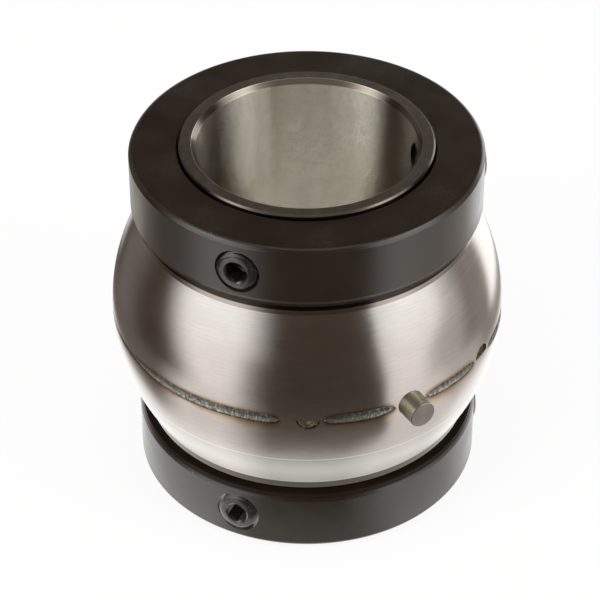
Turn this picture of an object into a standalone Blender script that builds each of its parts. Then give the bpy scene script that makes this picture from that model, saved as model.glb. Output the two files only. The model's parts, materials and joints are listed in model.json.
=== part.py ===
"""Double-collar insert bearing with two rows of tapered rollers.

The bearing stands on end with its shaft axis on +Z and its centre at the origin.
The outer race is a ball-shaped ring in two halves, welded to each other along the
middle. The long inner ring carries both rows of rollers on one side of its wall and
the shaft on the other, and a collar with two set screws locks each end to the shaft.
Azimuths are measured from -Y, towards +X. Sizes are in metres.
"""

import math

import bmesh
import bpy
from mathutils import Matrix, Vector

MM = 0.001

# Driving sizes of the inner ring
BORE_RADIUS = 25.4 * MM
RING_WALL = 3.95 * MM
LEAD_IN_DEPTH = 1.2 * MM
LEAD_IN_WIDTH = 1.05 * MM
RING_EDGE_BREAK = 0.4 * MM
RING_PROUD = 1.0 * MM
RIB_HALF_WIDTH = 2.4 * MM
RIB_HEIGHT = 2.5 * MM
RETAINING_LIP_HEIGHT = 0.8 * MM
RETAINING_LIP_WIDTH = 1.4 * MM

# Driving sizes of the roller rows
ROLLERS_PER_ROW = 18
ROLLER_RADIUS = 3.9 * MM
ROLLER_LENGTH = 16.5 * MM
ROLLER_EDGE_BREAK = 0.5 * MM
CONTACT_ANGLE = math.radians(12.5)

# Driving sizes of the cages
CAGE_THICKNESS = 1.2 * MM
CAGE_RIM = 1.9 * MM
CAGE_FLANGE_REACH = 2.2 * MM

# Driving sizes of the outer race
SEAT_WALL = 1.5 * MM
SEAT_SHOULDER = 0.35 * MM
LAND_WIDTH = 2.2 * MM
LAND_TAPER = 0.57 * MM
RACE_EDGE_BREAK = 0.4 * MM

# Driving sizes of the seals
SEAL_WIDTH = 4.15 * MM
SEAL_SHEET = 1.0 * MM
SEAL_LIP_HEIGHT = 2.3 * MM
SEAL_LIP_BODY = 1.5 * MM

# Driving sizes of the collars
COLLAR_WALL = 11.4 * MM
COLLAR_WIDTH = 15.875 * MM
COLLAR_OUTER_BREAK = (0.75 * MM, 1.1 * MM)
COLLAR_INNER_BREAK = (0.67 * MM, 1.85 * MM)
COLLAR_BORE_BREAK = 0.5 * MM
COLLAR_GAP = 0.85 * MM

# Driving sizes of the set screws, two in each collar
SCREW_RADIUS = 4.6 * MM
SCREW_FACE_RADIUS = 3.75 * MM
SCREW_END_BREAK = 0.9 * MM
SCREW_TIP_BACK = 2.8 * MM
SCREW_PROUD = 0.5 * MM
SOCKET_ACROSS_FLATS = 4.76 * MM
SOCKET_DEPTH = 4.5 * MM
COUNTERSINK_WIDTH = 0.45 * MM
COUNTERSINK_DEPTH = 0.9 * MM
SCREW_AZIMUTH = math.radians(-22.5)
SCREW_SPACING = math.radians(120.0)
LOWER_COLLAR_TURN = math.radians(-1.6)

# Driving sizes of the anti-rotation pin, the grease notches and the weld
PIN_RADIUS = 3.175 * MM
PIN_PROUD = 5.1 * MM
PIN_EDGE_BREAK = 0.25 * MM
PIN_AZIMUTH = math.radians(30.2)
NOTCH_RADIUS = 2.73 * MM
NOTCH_SPACING = math.radians(30.2)
WELD_WIDTH = 2.7 * MM
WELD_DEPTH = 1.6 * MM
WELD_SINK = 0.4 * MM
WELD_CROWN = 0.3 * MM
WELD_BACK_GAP = math.radians(8.0)
WELD_TO_NOTCH_BEFORE = math.radians(8.3)
WELD_TO_NOTCH_AFTER = math.radians(4.5)
WELD_TO_PIN = math.radians(5.0)

# Named clearances
RUNNING_GAP = 0.3 * MM
SEATED_GAP = 0.3 * MM
SEAM_GAP = 0.25 * MM

# Facets round the turned pieces
RING_STEPS = 48
CAGE_STEPS = 36
SEAL_STEPS = 36
ROLLER_STEPS = 10
PIN_STEPS = 20
SCREW_STEPS = 14
NOTCH_STEPS = 16
SPHERE_STEPS = 7
WELD_STEP_ANGLE = math.radians(7.5)
SMOOTH_ANGLE = math.radians(28.0)

PARTS_NAME = "insert_bearing"
CUTTERS_NAME = "cutters"


# Sizes that follow from the driving ones, worked outwards from the bore

ring_radius = BORE_RADIUS + RING_WALL
pitch_sin = math.sin(CONTACT_ANGLE)
pitch_cos = math.cos(CONTACT_ANGLE)
half_roller = ROLLER_LENGTH / 2.0

# The small end of each raceway sits level with the ends of the inner ring
pitch_radius = ring_radius + ROLLER_RADIUS * pitch_cos + half_roller * pitch_sin
cone_distance = pitch_radius / pitch_sin
roller_taper = ROLLER_RADIUS / cone_distance
roller_large_radius = ROLLER_RADIUS + half_roller * roller_taper
roller_small_radius = ROLLER_RADIUS - half_roller * roller_taper
pitch_height = (RIB_HALF_WIDTH + RUNNING_GAP
                + roller_large_radius * pitch_sin + half_roller * pitch_cos)


def roller_point(along, across):
    """Radius and height of a point beside the upper roller's axis.

    along runs from the roller's middle towards its small end, across away from the
    shaft, both in metres.
    """
    radius = pitch_radius - along * pitch_sin + across * pitch_cos
    height = pitch_height + along * pitch_cos + across * pitch_sin
    return radius, height


inner_large_end = roller_point(-half_roller, -roller_large_radius)
inner_small_end = roller_point(half_roller, -roller_small_radius)
outer_large_end = roller_point(-half_roller, roller_large_radius)
outer_small_end = roller_point(half_roller, roller_small_radius)

cage_end = roller_point(half_roller + RUNNING_GAP + CAGE_RIM, CAGE_THICKNESS / 2.0)
seat_height = cage_end[1] + RUNNING_GAP
seat_radius = outer_small_end[0] + SEAT_SHOULDER
race_end_height = seat_height + SEATED_GAP + SEAL_WIDTH
land_end_radius = seat_radius + SEAT_WALL
land_start_radius = land_end_radius + LAND_TAPER
land_start_height = race_end_height - LAND_WIDTH
sphere_radius = math.hypot(land_start_radius, land_start_height)
grease_space_radius = outer_large_end[0] + SEAT_SHOULDER

collar_radius = ring_radius + COLLAR_WALL
collar_bore_radius = ring_radius + SEATED_GAP
collar_inner_height = race_end_height + COLLAR_GAP
collar_outer_height = collar_inner_height + COLLAR_WIDTH
ring_half_length = collar_outer_height + RING_PROUD

screw_height = (collar_inner_height + collar_outer_height) / 2.0
screw_tip_radius = BORE_RADIUS + SCREW_TIP_BACK
screw_end_radius = collar_radius + SCREW_PROUD
screw_length = screw_end_radius - screw_tip_radius
screw_hole_radius = SCREW_RADIUS + SEATED_GAP

pin_end_radius = sphere_radius + PIN_PROUD
pin_root_radius = grease_space_radius + SEATED_GAP
pin_hole_radius = PIN_RADIUS + SEATED_GAP

first_notch_azimuth = PIN_AZIMUTH - NOTCH_SPACING
second_notch_azimuth = PIN_AZIMUTH + NOTCH_SPACING


# Scene and collections

def clear_scene():
    for old in list(bpy.data.objects):
        bpy.data.objects.remove(old, do_unlink=True)


def new_collection(name):
    old = bpy.data.collections.get(name)
    if old is not None:
        bpy.data.collections.remove(old)
    collection = bpy.data.collections.new(name)
    bpy.context.scene.collection.children.link(collection)
    return collection


def add_object(name, mesh, collection, material=None):
    obj = bpy.data.objects.new(name, mesh)
    collection.objects.link(obj)
    if material is not None:
        mesh.materials.append(material)
    return obj


def as_cutter(obj):
    obj.hide_render = True
    obj.display_type = 'WIRE'
    return obj


# Materials

def metal(name, colour, roughness, metallic=1.0):
    material = bpy.data.materials.new(name)
    material.use_nodes = True
    shader = material.node_tree.nodes["Principled BSDF"]
    shader.inputs["Base Color"].default_value = (*colour, 1.0)
    shader.inputs["Roughness"].default_value = roughness
    shader.inputs["Metallic"].default_value = metallic
    material.diffuse_color = (*colour, 1.0)
    return material


def make_materials():
    return {
        "ground_steel": metal("ground_steel", (0.53, 0.50, 0.47), 0.30),
        "ring_steel": metal("ring_steel", (0.47, 0.44, 0.39), 0.34),
        "roller_steel": metal("roller_steel", (0.60, 0.60, 0.60), 0.15),
        "cage_steel": metal("cage_steel", (0.38, 0.37, 0.36), 0.45),
        "seal_sheet": metal("seal_sheet", (0.42, 0.42, 0.43), 0.40),
        "seal_rubber": metal("seal_rubber", (0.03, 0.03, 0.03), 0.70, metallic=0.0),
        "black_oxide": metal("black_oxide", (0.035, 0.028, 0.023), 0.35, metallic=0.6),
        "screw_steel": metal("screw_steel", (0.030, 0.027, 0.025), 0.30, metallic=0.7),
        "pin_steel": metal("pin_steel", (0.45, 0.43, 0.39), 0.35),
        "weld_metal": metal("weld_metal", (0.32, 0.33, 0.31), 0.38),
    }


# Shading that stays smooth round a turned surface and crisp at its corners

def smooth_by_angle_group():
    group = bpy.data.node_groups.new("smooth_by_angle", 'GeometryNodeTree')
    group.interface.new_socket("Geometry", in_out='INPUT', socket_type='NodeSocketGeometry')
    group.interface.new_socket("Geometry", in_out='OUTPUT', socket_type='NodeSocketGeometry')
    nodes = group.nodes
    source = nodes.new('NodeGroupInput')
    result = nodes.new('NodeGroupOutput')
    edge_angle = nodes.new('GeometryNodeInputMeshEdgeAngle')
    is_flat = nodes.new('FunctionNodeCompare')
    is_flat.data_type = 'FLOAT'
    is_flat.operation = 'LESS_THAN'
    is_flat.inputs["B"].default_value = SMOOTH_ANGLE
    smooth_faces = nodes.new('GeometryNodeSetShadeSmooth')
    smooth_faces.domain = 'FACE'
    smooth_edges = nodes.new('GeometryNodeSetShadeSmooth')
    smooth_edges.domain = 'EDGE'
    links = group.links
    links.new(source.outputs["Geometry"], smooth_faces.inputs["Geometry"])
    links.new(smooth_faces.outputs["Geometry"], smooth_edges.inputs["Geometry"])
    links.new(edge_angle.outputs["Unsigned Angle"], is_flat.inputs["A"])
    links.new(is_flat.outputs["Result"], smooth_edges.inputs["Shade Smooth"])
    links.new(smooth_edges.outputs["Geometry"], result.inputs["Geometry"])
    return group


def shade(obj, group):
    modifier = obj.modifiers.new("smooth_by_angle", 'NODES')
    modifier.node_group = group


# Modelling tools

def mirrored_height(section):
    """The same turned section below the middle plane, still listed clockwise."""
    return [(radius, -height) for radius, height in reversed(section)]


def turned(name, section, steps, collection, material=None):
    """A turned piece: its section goes down the outer side, then back up the bore."""
    mesh = bpy.data.meshes.new(name)
    points = [(radius, 0.0, height) for radius, height in section]
    count = len(points)
    closed = min(radius for radius, height in section) > 0.0
    edges = [(i, i + 1) for i in range(count - 1)]
    if closed:
        edges.append((count - 1, 0))
    mesh.from_pydata(points, edges, [])
    obj = add_object(name, mesh, collection, material)
    screw = obj.modifiers.new("turn", 'SCREW')
    screw.axis = 'Z'
    screw.angle = math.tau
    screw.steps = steps
    screw.render_steps = steps
    screw.use_merge_vertices = True
    screw.merge_threshold = 0.00001
    return obj


def cut(obj, cutter):
    boolean = obj.modifiers.new("cut_" + cutter.name, 'BOOLEAN')
    boolean.operation = 'DIFFERENCE'
    boolean.solver = 'EXACT'
    boolean.object = cutter


def radial_frame(azimuth, radius=0.0, height=0.0):
    """Local +Z points away from the shaft at an azimuth, local +Y up the shaft."""
    outwards = Vector((math.sin(azimuth), -math.cos(azimuth), 0.0))
    up = Vector((0.0, 0.0, 1.0))
    side = up.cross(outwards)
    frame = Matrix((side, up, outwards)).transposed().to_4x4()
    frame.translation = outwards * radius + up * height
    return frame


# Outer race

def race_half_section():
    """Upper half of the outer race, from the land down the ball and up the raceway."""
    seam = SEAM_GAP / 2.0
    section = [(land_end_radius, race_end_height)]
    start = math.asin(land_start_height / sphere_radius)
    end = math.asin(seam / sphere_radius)
    for step in range(SPHERE_STEPS + 1):
        latitude = start + (end - start) * step / SPHERE_STEPS
        section.append((sphere_radius * math.cos(latitude), sphere_radius * math.sin(latitude)))
    section.append((grease_space_radius, seam))
    section.append((grease_space_radius, outer_large_end[1] - SEAT_SHOULDER))
    section.append(outer_large_end)
    section.append(outer_small_end)
    section.append((outer_small_end[0], seat_height))
    section.append((seat_radius, seat_height))
    section.append((seat_radius, race_end_height - RACE_EDGE_BREAK))
    section.append((seat_radius + RACE_EDGE_BREAK, race_end_height))
    return section


def pin_hole_cutter(cutters):
    obj = turned("pin_hole", [
        (0.0, pin_end_radius),
        (pin_hole_radius, pin_end_radius),
        (pin_hole_radius, grease_space_radius - SEATED_GAP),
        (0.0, grease_space_radius - SEATED_GAP),
    ], PIN_STEPS, cutters)
    obj.matrix_world = radial_frame(PIN_AZIMUTH)
    return as_cutter(obj)


def notch_cutter(name, azimuth, cutters):
    obj = turned(name, [
        (0.0, pin_end_radius),
        (NOTCH_RADIUS, pin_end_radius),
        (NOTCH_RADIUS, grease_space_radius - SEATED_GAP),
        (0.0, grease_space_radius - SEATED_GAP),
    ], NOTCH_STEPS, cutters)
    obj.matrix_world = radial_frame(azimuth)
    return as_cutter(obj)


def make_outer_race(parts, cutters, materials, welds):
    upper_section = race_half_section()
    sections = {"outer_race_upper": upper_section, "outer_race_lower": mirrored_height(upper_section)}
    notches = {
        "outer_race_upper": notch_cutter("upper_grease_notch", second_notch_azimuth, cutters),
        "outer_race_lower": notch_cutter("lower_grease_notch", first_notch_azimuth, cutters),
    }
    pin_hole = pin_hole_cutter(cutters)
    grooves = [weld_groove_cutter(name, span, cutters) for name, span in welds.items()]
    for name, section in sections.items():
        half = turned(name, section, RING_STEPS, parts, materials["ground_steel"])
        cut(half, notches[name])
        cut(half, pin_hole)
        for groove in grooves:
            cut(half, groove)


# Weld between the halves, one bead for each stretch

def weld_spans():
    """Start and end azimuth of each bead: they stop short of the pin and the notches."""
    back = math.pi - WELD_BACK_GAP / 2.0
    return {
        "weld_bead_left": (-back, first_notch_azimuth - WELD_TO_NOTCH_BEFORE),
        "weld_bead_before_pin": (first_notch_azimuth + WELD_TO_NOTCH_AFTER, PIN_AZIMUTH - WELD_TO_PIN),
        "weld_bead_after_pin": (PIN_AZIMUTH + WELD_TO_PIN, second_notch_azimuth - WELD_TO_NOTCH_AFTER),
        "weld_bead_right": (second_notch_azimuth + WELD_TO_NOTCH_AFTER, back),
    }


def swept_arc(name, section, span, collection, material=None):
    """A closed section swept round the shaft axis between two azimuths."""
    start, end = span
    steps = max(2, round((end - start) / WELD_STEP_ANGLE))
    mesh = bpy.data.meshes.new(name)
    bm = bmesh.new()
    ring = [bm.verts.new((radius, 0.0, height)) for radius, height in section]
    loop = [bm.edges.new((ring[i - 1], ring[i])) for i in range(len(ring))]
    bmesh.ops.spin(bm, geom=ring + loop, cent=(0.0, 0.0, 0.0), axis=(0.0, 0.0, 1.0),
                   angle=end - start, steps=steps)
    open_edges = [edge for edge in bm.edges if edge.is_boundary]
    bmesh.ops.holes_fill(bm, edges=open_edges, sides=len(section))
    bmesh.ops.recalc_face_normals(bm, faces=bm.faces)
    bm.to_mesh(mesh)
    bm.free()
    obj = add_object(name, mesh, collection, material)
    obj.rotation_euler = (0.0, 0.0, start - math.pi / 2.0)
    return obj


def weld_groove_cutter(name, span, cutters):
    half_width = WELD_WIDTH / 2.0
    bottom = sphere_radius - WELD_DEPTH
    above = sphere_radius + WELD_DEPTH
    section = [(bottom, -half_width), (above, -half_width), (above, half_width), (bottom, half_width)]
    end_gap = SEATED_GAP / sphere_radius
    obj = swept_arc(name + "_groove", section, (span[0] - end_gap, span[1] + end_gap), cutters)
    return as_cutter(obj)


def make_weld_bead(name, span, parts, material):
    """The bead's face is crowned, and its edges lie sunk below the ball's surface."""
    half_width = WELD_WIDTH / 2.0 - SEATED_GAP
    bottom = sphere_radius - WELD_DEPTH + SEATED_GAP
    edge = math.sqrt(sphere_radius ** 2 - (WELD_WIDTH / 2.0) ** 2) - WELD_SINK
    section = [
        (bottom, -half_width),
        (edge, -half_width),
        (edge + WELD_CROWN, 0.0),
        (edge, half_width),
        (bottom, half_width),
    ]
    return swept_arc(name, section, span, parts, material)


# Anti-rotation pin, pressed into the joint between the halves

def make_pin(parts, material):
    obj = turned("anti_rotation_pin", [
        (0.0, pin_end_radius),
        (PIN_RADIUS - PIN_EDGE_BREAK, pin_end_radius),
        (PIN_RADIUS, pin_end_radius - PIN_EDGE_BREAK),
        (PIN_RADIUS, pin_root_radius + PIN_EDGE_BREAK),
        (PIN_RADIUS - PIN_EDGE_BREAK, pin_root_radius),
        (0.0, pin_root_radius),
    ], PIN_STEPS, parts, material)
    obj.matrix_world = radial_frame(PIN_AZIMUTH)
    return obj


# Inner ring

def ring_section():
    """One side from the top end to the middle: end, seal land, lip, raceway, rib."""
    lip_radius = ring_radius + RETAINING_LIP_HEIGHT
    lip_foot_height = inner_small_end[1] + RUNNING_GAP + RETAINING_LIP_HEIGHT * pitch_sin
    rib_radius = inner_large_end[0] + RIB_HEIGHT
    rib_foot_height = inner_large_end[1] - RUNNING_GAP
    upper = [
        (BORE_RADIUS + LEAD_IN_WIDTH, ring_half_length),
        (ring_radius - RING_EDGE_BREAK, ring_half_length),
        (ring_radius, ring_half_length - RING_EDGE_BREAK),
        (ring_radius, lip_foot_height + RETAINING_LIP_WIDTH),
        (lip_radius, lip_foot_height + RETAINING_LIP_WIDTH / 2.0),
        (lip_radius, lip_foot_height),
        (inner_small_end[0], lip_foot_height),
        (inner_small_end[0], inner_small_end[1]),
        (inner_large_end[0], rib_foot_height),
        (rib_radius, rib_foot_height + RIB_HEIGHT * math.tan(CONTACT_ANGLE)),
    ]
    bore = [
        (BORE_RADIUS, -(ring_half_length - LEAD_IN_DEPTH)),
        (BORE_RADIUS, ring_half_length - LEAD_IN_DEPTH),
    ]
    return upper + mirrored_height(upper) + bore


def screw_places():
    """Collar side (1 above, -1 below), place name and azimuth of every set screw."""
    for side, side_name, turn in ((1, "upper", 0.0), (-1, "lower", LOWER_COLLAR_TURN)):
        for number in (0, 1):
            azimuth = SCREW_AZIMUTH + turn + number * SCREW_SPACING
            yield side, side_name, ("front", "side")[number], azimuth


def screw_hole_cutter(side, name, azimuth, cutters):
    """Through the collar and the wall of the ring, with a countersunk mouth."""
    mouth = screw_hole_radius + COUNTERSINK_WIDTH
    obj = turned(name + "_hole", [
        (0.0, collar_radius + COUNTERSINK_DEPTH),
        (mouth, collar_radius + COUNTERSINK_DEPTH),
        (mouth, collar_radius),
        (screw_hole_radius, collar_radius - COUNTERSINK_DEPTH),
        (screw_hole_radius, BORE_RADIUS - screw_hole_radius),
        (0.0, BORE_RADIUS - screw_hole_radius),
    ], SCREW_STEPS, cutters)
    obj.matrix_world = radial_frame(azimuth, height=side * screw_height)
    return as_cutter(obj)


# Collars

def collar_section():
    """Upper collar: the outer corner is broken shorter than the one by the race."""
    outer_width, outer_depth = COLLAR_OUTER_BREAK
    inner_width, inner_depth = COLLAR_INNER_BREAK
    bore_mouth = collar_bore_radius + COLLAR_BORE_BREAK
    return [
        (bore_mouth, collar_outer_height),
        (collar_radius - outer_width, collar_outer_height),
        (collar_radius, collar_outer_height - outer_depth),
        (collar_radius, collar_inner_height + inner_depth),
        (collar_radius - inner_width, collar_inner_height),
        (bore_mouth, collar_inner_height),
        (collar_bore_radius, collar_inner_height + COLLAR_BORE_BREAK),
        (collar_bore_radius, collar_outer_height - COLLAR_BORE_BREAK),
    ]


# Set screws with a hex socket and a cup point

def socket_cutter(name, frame, cutters):
    mesh = bpy.data.meshes.new(name + "_socket")
    bm = bmesh.new()
    corner_radius = SOCKET_ACROSS_FLATS / math.sqrt(3.0)
    bmesh.ops.create_cone(bm, cap_ends=True, segments=6, radius1=corner_radius,
                          radius2=corner_radius, depth=2.0 * SOCKET_DEPTH)
    bm.to_mesh(mesh)
    bm.free()
    obj = add_object(name + "_socket", mesh, cutters)
    obj.matrix_world = frame @ Matrix.Translation((0.0, 0.0, screw_length))
    return as_cutter(obj)


def make_set_screw(name, side, azimuth, parts, cutters, material):
    cup_radius = SCREW_FACE_RADIUS / 2.0
    frame = radial_frame(azimuth, screw_tip_radius, side * screw_height)
    obj = turned(name, [
        (0.0, screw_length),
        (SCREW_FACE_RADIUS, screw_length),
        (SCREW_RADIUS, screw_length - SCREW_END_BREAK),
        (SCREW_RADIUS, SCREW_RADIUS - cup_radius),
        (cup_radius, 0.0),
        (0.0, cup_radius / 2.0),
    ], SCREW_STEPS, parts, material)
    obj.matrix_world = frame
    cut(obj, socket_cutter(name, frame, cutters))
    return obj


def make_inner_group(parts, cutters, materials):
    """Inner ring, both collars and the four set screws: they turn with the shaft."""
    ring = turned("inner_ring", ring_section(), RING_STEPS, parts, materials["ring_steel"])
    collars = {
        "upper": turned("collar_upper", collar_section(), RING_STEPS, parts,
                        materials["black_oxide"]),
        "lower": turned("collar_lower", mirrored_height(collar_section()), RING_STEPS, parts,
                        materials["black_oxide"]),
    }
    for side, side_name, place, azimuth in screw_places():
        name = "set_screw_" + side_name + "_" + place
        hole = screw_hole_cutter(side, name, azimuth, cutters)
        cut(ring, hole)
        cut(collars[side_name], hole)
        make_set_screw(name, side, azimuth, parts, cutters, materials["screw_steel"])


# Rollers and cages, one row above the middle and one below

def roller_frame(side, azimuth):
    """Local +Z runs along a roller's axis, towards its small end."""
    outwards = Vector((math.sin(azimuth), -math.cos(azimuth), 0.0))
    up = Vector((0.0, 0.0, float(side)))
    along = up * pitch_cos - outwards * pitch_sin
    across = outwards * pitch_cos + up * pitch_sin
    third = along.cross(across)
    frame = Matrix((across, third, along)).transposed().to_4x4()
    frame.translation = outwards * pitch_radius + up * pitch_height
    return frame


def roller_azimuths(side):
    """The lower row is turned by half a pitch against the upper one."""
    pitch = math.tau / ROLLERS_PER_ROW
    offset = 0.0 if side > 0 else pitch / 2.0
    return [offset + number * pitch for number in range(ROLLERS_PER_ROW)]


def make_rollers(parts, material):
    """Tapered rollers with broken edges: all of them share one mesh."""
    large = roller_large_radius - RUNNING_GAP
    small = roller_small_radius - RUNNING_GAP
    section = [
        (0.0, half_roller),
        (small - ROLLER_EDGE_BREAK, half_roller),
        (small, half_roller - ROLLER_EDGE_BREAK),
        (large, -half_roller + ROLLER_EDGE_BREAK),
        (large - ROLLER_EDGE_BREAK, -half_roller),
        (0.0, -half_roller),
    ]
    shared_mesh = None
    for side, side_name in ((1, "upper"), (-1, "lower")):
        for number, azimuth in enumerate(roller_azimuths(side), start=1):
            name = "roller_" + side_name + "_" + str(number).zfill(2)
            obj = turned(name, section, ROLLER_STEPS, parts, material)
            if shared_mesh is None:
                shared_mesh = obj.data
            else:
                spare = obj.data
                obj.data = shared_mesh
                bpy.data.meshes.remove(spare)
            obj.matrix_world = roller_frame(side, azimuth)


def cage_section():
    """Pressed cone round the pitch line, with a flange turned in at the small end."""
    half_sheet = CAGE_THICKNESS / 2.0
    small_edge = half_roller + RUNNING_GAP
    large_edge = -half_roller - RUNNING_GAP
    foot = roller_point(large_edge - CAGE_RIM, half_sheet)
    inner_foot = roller_point(large_edge - CAGE_RIM, -half_sheet)
    corner = roller_point(small_edge + CAGE_RIM, half_sheet)
    flange_height = corner[1] - CAGE_THICKNESS
    flange_radius = corner[0] - CAGE_THICKNESS - CAGE_FLANGE_REACH
    inner_corner_radius = corner[0] - CAGE_THICKNESS * pitch_cos
    return [
        (flange_radius, corner[1]),
        corner,
        foot,
        inner_foot,
        (inner_corner_radius, flange_height),
        (flange_radius, flange_height),
    ]


def pocket_cutter(side, side_name, cutters):
    """One tapered block for each roller, all in one mesh."""
    name = "cage_pockets_" + side_name
    mesh = bpy.data.meshes.new(name)
    bm = bmesh.new()
    length = ROLLER_LENGTH + 2.0 * RUNNING_GAP
    to_corner = math.sqrt(2.0)
    quarter_turn = Matrix.Rotation(math.radians(45.0), 4, 'Z')
    for azimuth in roller_azimuths(side):
        bmesh.ops.create_cone(
            bm, cap_ends=True, segments=4,
            radius1=to_corner * (roller_large_radius + RUNNING_GAP / 2.0),
            radius2=to_corner * (roller_small_radius + RUNNING_GAP / 2.0),
            depth=length, matrix=roller_frame(side, azimuth) @ quarter_turn)
    bm.to_mesh(mesh)
    bm.free()
    return as_cutter(add_object(name, mesh, cutters))


def make_cages(parts, cutters, material):
    sections = {"upper": cage_section(), "lower": mirrored_height(cage_section())}
    for side, side_name in ((1, "upper"), (-1, "lower")):
        cage = turned("cage_" + side_name, sections[side_name], CAGE_STEPS, parts, material)
        cut(cage, pocket_cutter(side, side_name, cutters))


# Seals: a pressed steel shell in the race and a rubber lip on the ring

def seal_shell_section():
    outer = seat_radius - SEATED_GAP
    top = race_end_height - SEATED_GAP
    bottom = seat_height + SEATED_GAP
    hole = collar_bore_radius + SEAL_LIP_HEIGHT
    return [
        (hole, top),
        (outer, top),
        (outer, bottom),
        (outer - SEAL_SHEET, bottom),
        (outer - SEAL_SHEET, top - SEAL_SHEET),
        (hole, top - SEAL_SHEET),
    ]


def seal_lip_section():
    """Bonded inside the shell's hole, with a lip that leans in towards the rollers."""
    top = race_end_height - SEATED_GAP
    body = collar_bore_radius + SEAL_LIP_HEIGHT - SEATED_GAP
    touch = ring_radius + RUNNING_GAP
    return [
        (body - SEAL_LIP_BODY, top),
        (body, top),
        (body, top - SEAL_SHEET),
        (touch + SEAL_SHEET / 2.0, top - 2.0 * SEAL_SHEET),
        (touch, top - 2.0 * SEAL_SHEET),
    ]


def make_seals(parts, materials):
    shell = seal_shell_section()
    lip = seal_lip_section()
    turned("seal_shell_upper", shell, SEAL_STEPS, parts, materials["seal_sheet"])
    turned("seal_shell_lower", mirrored_height(shell), SEAL_STEPS, parts, materials["seal_sheet"])
    turned("seal_lip_upper", lip, SEAL_STEPS, parts, materials["seal_rubber"])
    turned("seal_lip_lower", mirrored_height(lip), SEAL_STEPS, parts, materials["seal_rubber"])


def main():
    clear_scene()
    parts = new_collection(PARTS_NAME)
    cutters = new_collection(CUTTERS_NAME)
    materials = make_materials()
    welds = weld_spans()
    make_outer_race(parts, cutters, materials, welds)
    for name, span in welds.items():
        make_weld_bead(name, span, parts, materials["weld_metal"])
    make_pin(parts, materials["pin_steel"])
    make_inner_group(parts, cutters, materials)
    make_rollers(parts, materials["roller_steel"])
    make_cages(parts, cutters, materials["cage_steel"])
    make_seals(parts, materials)
    smooth = smooth_by_angle_group()
    for obj in parts.objects:
        shade(obj, smooth)
    bpy.context.view_layer.update()


main()
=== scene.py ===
"""Looks of a double-collar insert bearing: fine pieces, materials, studio and camera.

Sizes are in millimetres and turn into metres when a mesh is made. Azimuths are measured
from -Y, towards +X, in degrees. The shaft axis is Z.
"""

import json
import math

import bmesh
import bpy
import numpy as np
from mathutils import Matrix, Vector, noise


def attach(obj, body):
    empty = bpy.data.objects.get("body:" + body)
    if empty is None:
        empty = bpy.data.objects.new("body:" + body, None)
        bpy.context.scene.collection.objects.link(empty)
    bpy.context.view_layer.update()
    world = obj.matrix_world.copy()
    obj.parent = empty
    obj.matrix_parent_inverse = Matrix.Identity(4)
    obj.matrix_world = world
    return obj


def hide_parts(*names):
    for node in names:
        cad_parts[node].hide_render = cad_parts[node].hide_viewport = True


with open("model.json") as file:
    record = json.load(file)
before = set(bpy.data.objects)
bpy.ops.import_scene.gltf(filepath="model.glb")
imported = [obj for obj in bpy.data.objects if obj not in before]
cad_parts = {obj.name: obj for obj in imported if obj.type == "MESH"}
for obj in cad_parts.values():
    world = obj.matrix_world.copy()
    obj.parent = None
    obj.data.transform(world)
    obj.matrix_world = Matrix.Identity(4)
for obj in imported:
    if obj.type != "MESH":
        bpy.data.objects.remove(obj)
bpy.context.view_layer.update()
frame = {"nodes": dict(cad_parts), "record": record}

MM = 0.001

# Sizes of the solids, repeated from their source
BORE_R = 25.4
RING_R = 29.35
RING_HALF = 44.4485
LEAD_IN = (1.05, 1.2)
RING_BREAK = 0.4
COLLAR_R = 40.75
COLLAR_BORE_R = 29.5
COLLAR_IN = 27.574
COLLAR_OUT = 43.449
COLLAR_OUTER_BREAK = (0.75, 1.1)
COLLAR_INNER_BREAK = (0.67, 1.85)
BALL_R = 46.196  # the solid has 46.231, and its facets end at 46.179 along X
RACE_END = 26.724
LAND_END_R = 38.621
LAND_START = (39.191, 24.524)
# height in mm from which the upper land is painted dark, a painted shadow under the collar
PAINTED_SHADOW_FROM = 25.55
BALL_LINE = 16.9  # degrees below the seam
LINE_STEP = 0.035
SEAT_R = 37.121
SEAT_Z = 22.274
OUTER_SMALL = (36.771, 20.497)
OUTER_LARGE = (40.731, 4.474)
GREASE_R = 41.081
INNER_SMALL = (29.545, 18.895)
INNER_LARGE = (32.727, 2.7)
RIB_R = 35.227
RIB_SLOPE = 0.554
LIP_R = 30.15
LIP_WIDTH = 1.4
LIP_FOOT = 19.368
PIN_R = 3.175
PIN_AZIMUTH = 30.2
PIN_PROUD = 5.1
PIN_ROOT = 41.4
NOTCH_R = 2.73
NOTCHES = {"lower": 0.0, "upper": 60.4}
WELD_HALF = 1.35
WELD_TAPER = 2.6
WELD_DEPTH = 1.6
WELD_SINK = 0.4
WELD_CROWN = 0.32
WELD_GAP = 0.05
RIPPLE_PITCH = 0.62
TIP_RUN = 5.5  # length at either end of a bead over which it gets thinner
TIP_SHARE = 0.26  # share of the width that is lost there
THIN_FROM = -36.0  # azimuths between which the left bead is thinner
THIN_TO = -112.0
THIN_RUNS = (36.0, 14.0)  # degrees over which that starts and stops
THIN_SHARE = 0.76
WELDS = {
    "weld_bead_left": (-176.0, -8.3),
    "weld_bead_before_pin": (4.5, 25.2),
    "weld_bead_after_pin": (35.2, 55.9),
    "weld_bead_right": (64.9, 176.0),
}
SCREW_R = 4.68
SCREW_FACE_R = 3.95
SCREW_FACE_SLOPE = 1.5
SCREW_POINT_R = 1.9
SCREW_TIP = 28.2
SCREW_END = 41.25
SCREW_Z = 35.511
SCREW_PITCH = 1.058
SOCKET_FLATS = 4.76
SOCKET_DEPTH = 4.5
SCREW_HOLE_R = 4.86
COUNTERSINK = (0.62, 1.2)
SCREWS = {
    "set_screw_upper_front": (1, -22.5),
    "set_screw_upper_side": (1, 97.5),
    "set_screw_lower_front": (-1, -24.1),
    "set_screw_lower_side": (-1, 95.9),
}
FLOOR_Z = -44.46


# Mesh building

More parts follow.
